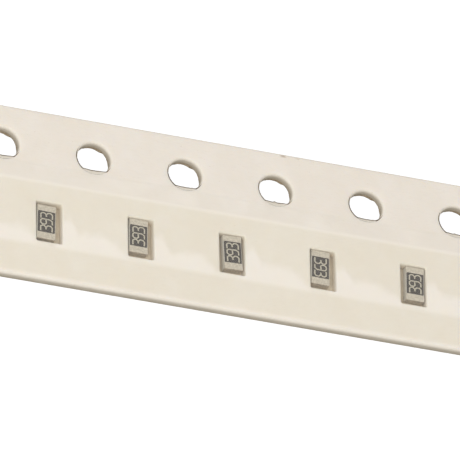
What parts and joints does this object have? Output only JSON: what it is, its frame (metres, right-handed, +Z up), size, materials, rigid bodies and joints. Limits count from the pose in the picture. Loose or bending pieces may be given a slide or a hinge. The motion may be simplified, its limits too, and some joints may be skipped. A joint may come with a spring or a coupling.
{
  "type": "strip of punched paper carrier tape with chip resistors",
  "caption": "Cut strip of punched paper carrier tape: chip resistors lie in pockets sealed between cover tapes, and sprocket holes along an edge feed it to a placement machine.",
  "frame": {"origin": "under the centre of the strip, on the surface that it lies on", "axes": "+X along the strip, +Y across it towards the row of sprocket holes, +Z up out of the pockets"},
  "size_m": [0.028, 0.008, 0.0006],
  "materials": {
    "carrier_paper": "matte",
    "bottom_cover_film": "satin",
    "top_cover_film": "gloss",
    "ceramic": "matte",
    "overcoat": "satin",
    "tin_plating": "satin"
  },
  "bodies": {
    "root": {"carrier_tape": "carrier_paper", "bottom_cover_tape": "bottom_cover_film", "top_cover_tape": "top_cover_film", "chip_1_substrate": "ceramic", "chip_1_overcoat": "overcoat", "chip_1_left_terminal": "tin_plating", "chip_1_right_terminal": "tin_plating", "chip_2_substrate": "ceramic", "chip_2_overcoat": "overcoat", "chip_2_left_terminal": "tin_plating", "chip_2_right_terminal": "tin_plating", "chip_3_substrate": "ceramic", "chip_3_overcoat": "overcoat", "chip_3_left_terminal": "tin_plating", "chip_3_right_terminal": "tin_plating", "chip_4_substrate": "ceramic", "chip_4_overcoat": "overcoat", "chip_4_left_terminal": "tin_plating", "chip_4_right_terminal": "tin_plating", "chip_5_substrate": "ceramic", "chip_5_overcoat": "overcoat", "chip_5_left_terminal": "tin_plating", "chip_5_right_terminal": "tin_plating", "chip_6_substrate": "ceramic", "chip_6_overcoat": "overcoat", "chip_6_left_terminal": "tin_plating", "chip_6_right_terminal": "tin_plating", "chip_7_substrate": "ceramic", "chip_7_overcoat": "overcoat", "chip_7_left_terminal": "tin_plating", "chip_7_right_terminal": "tin_plating"}
  },
  "joints": []
}
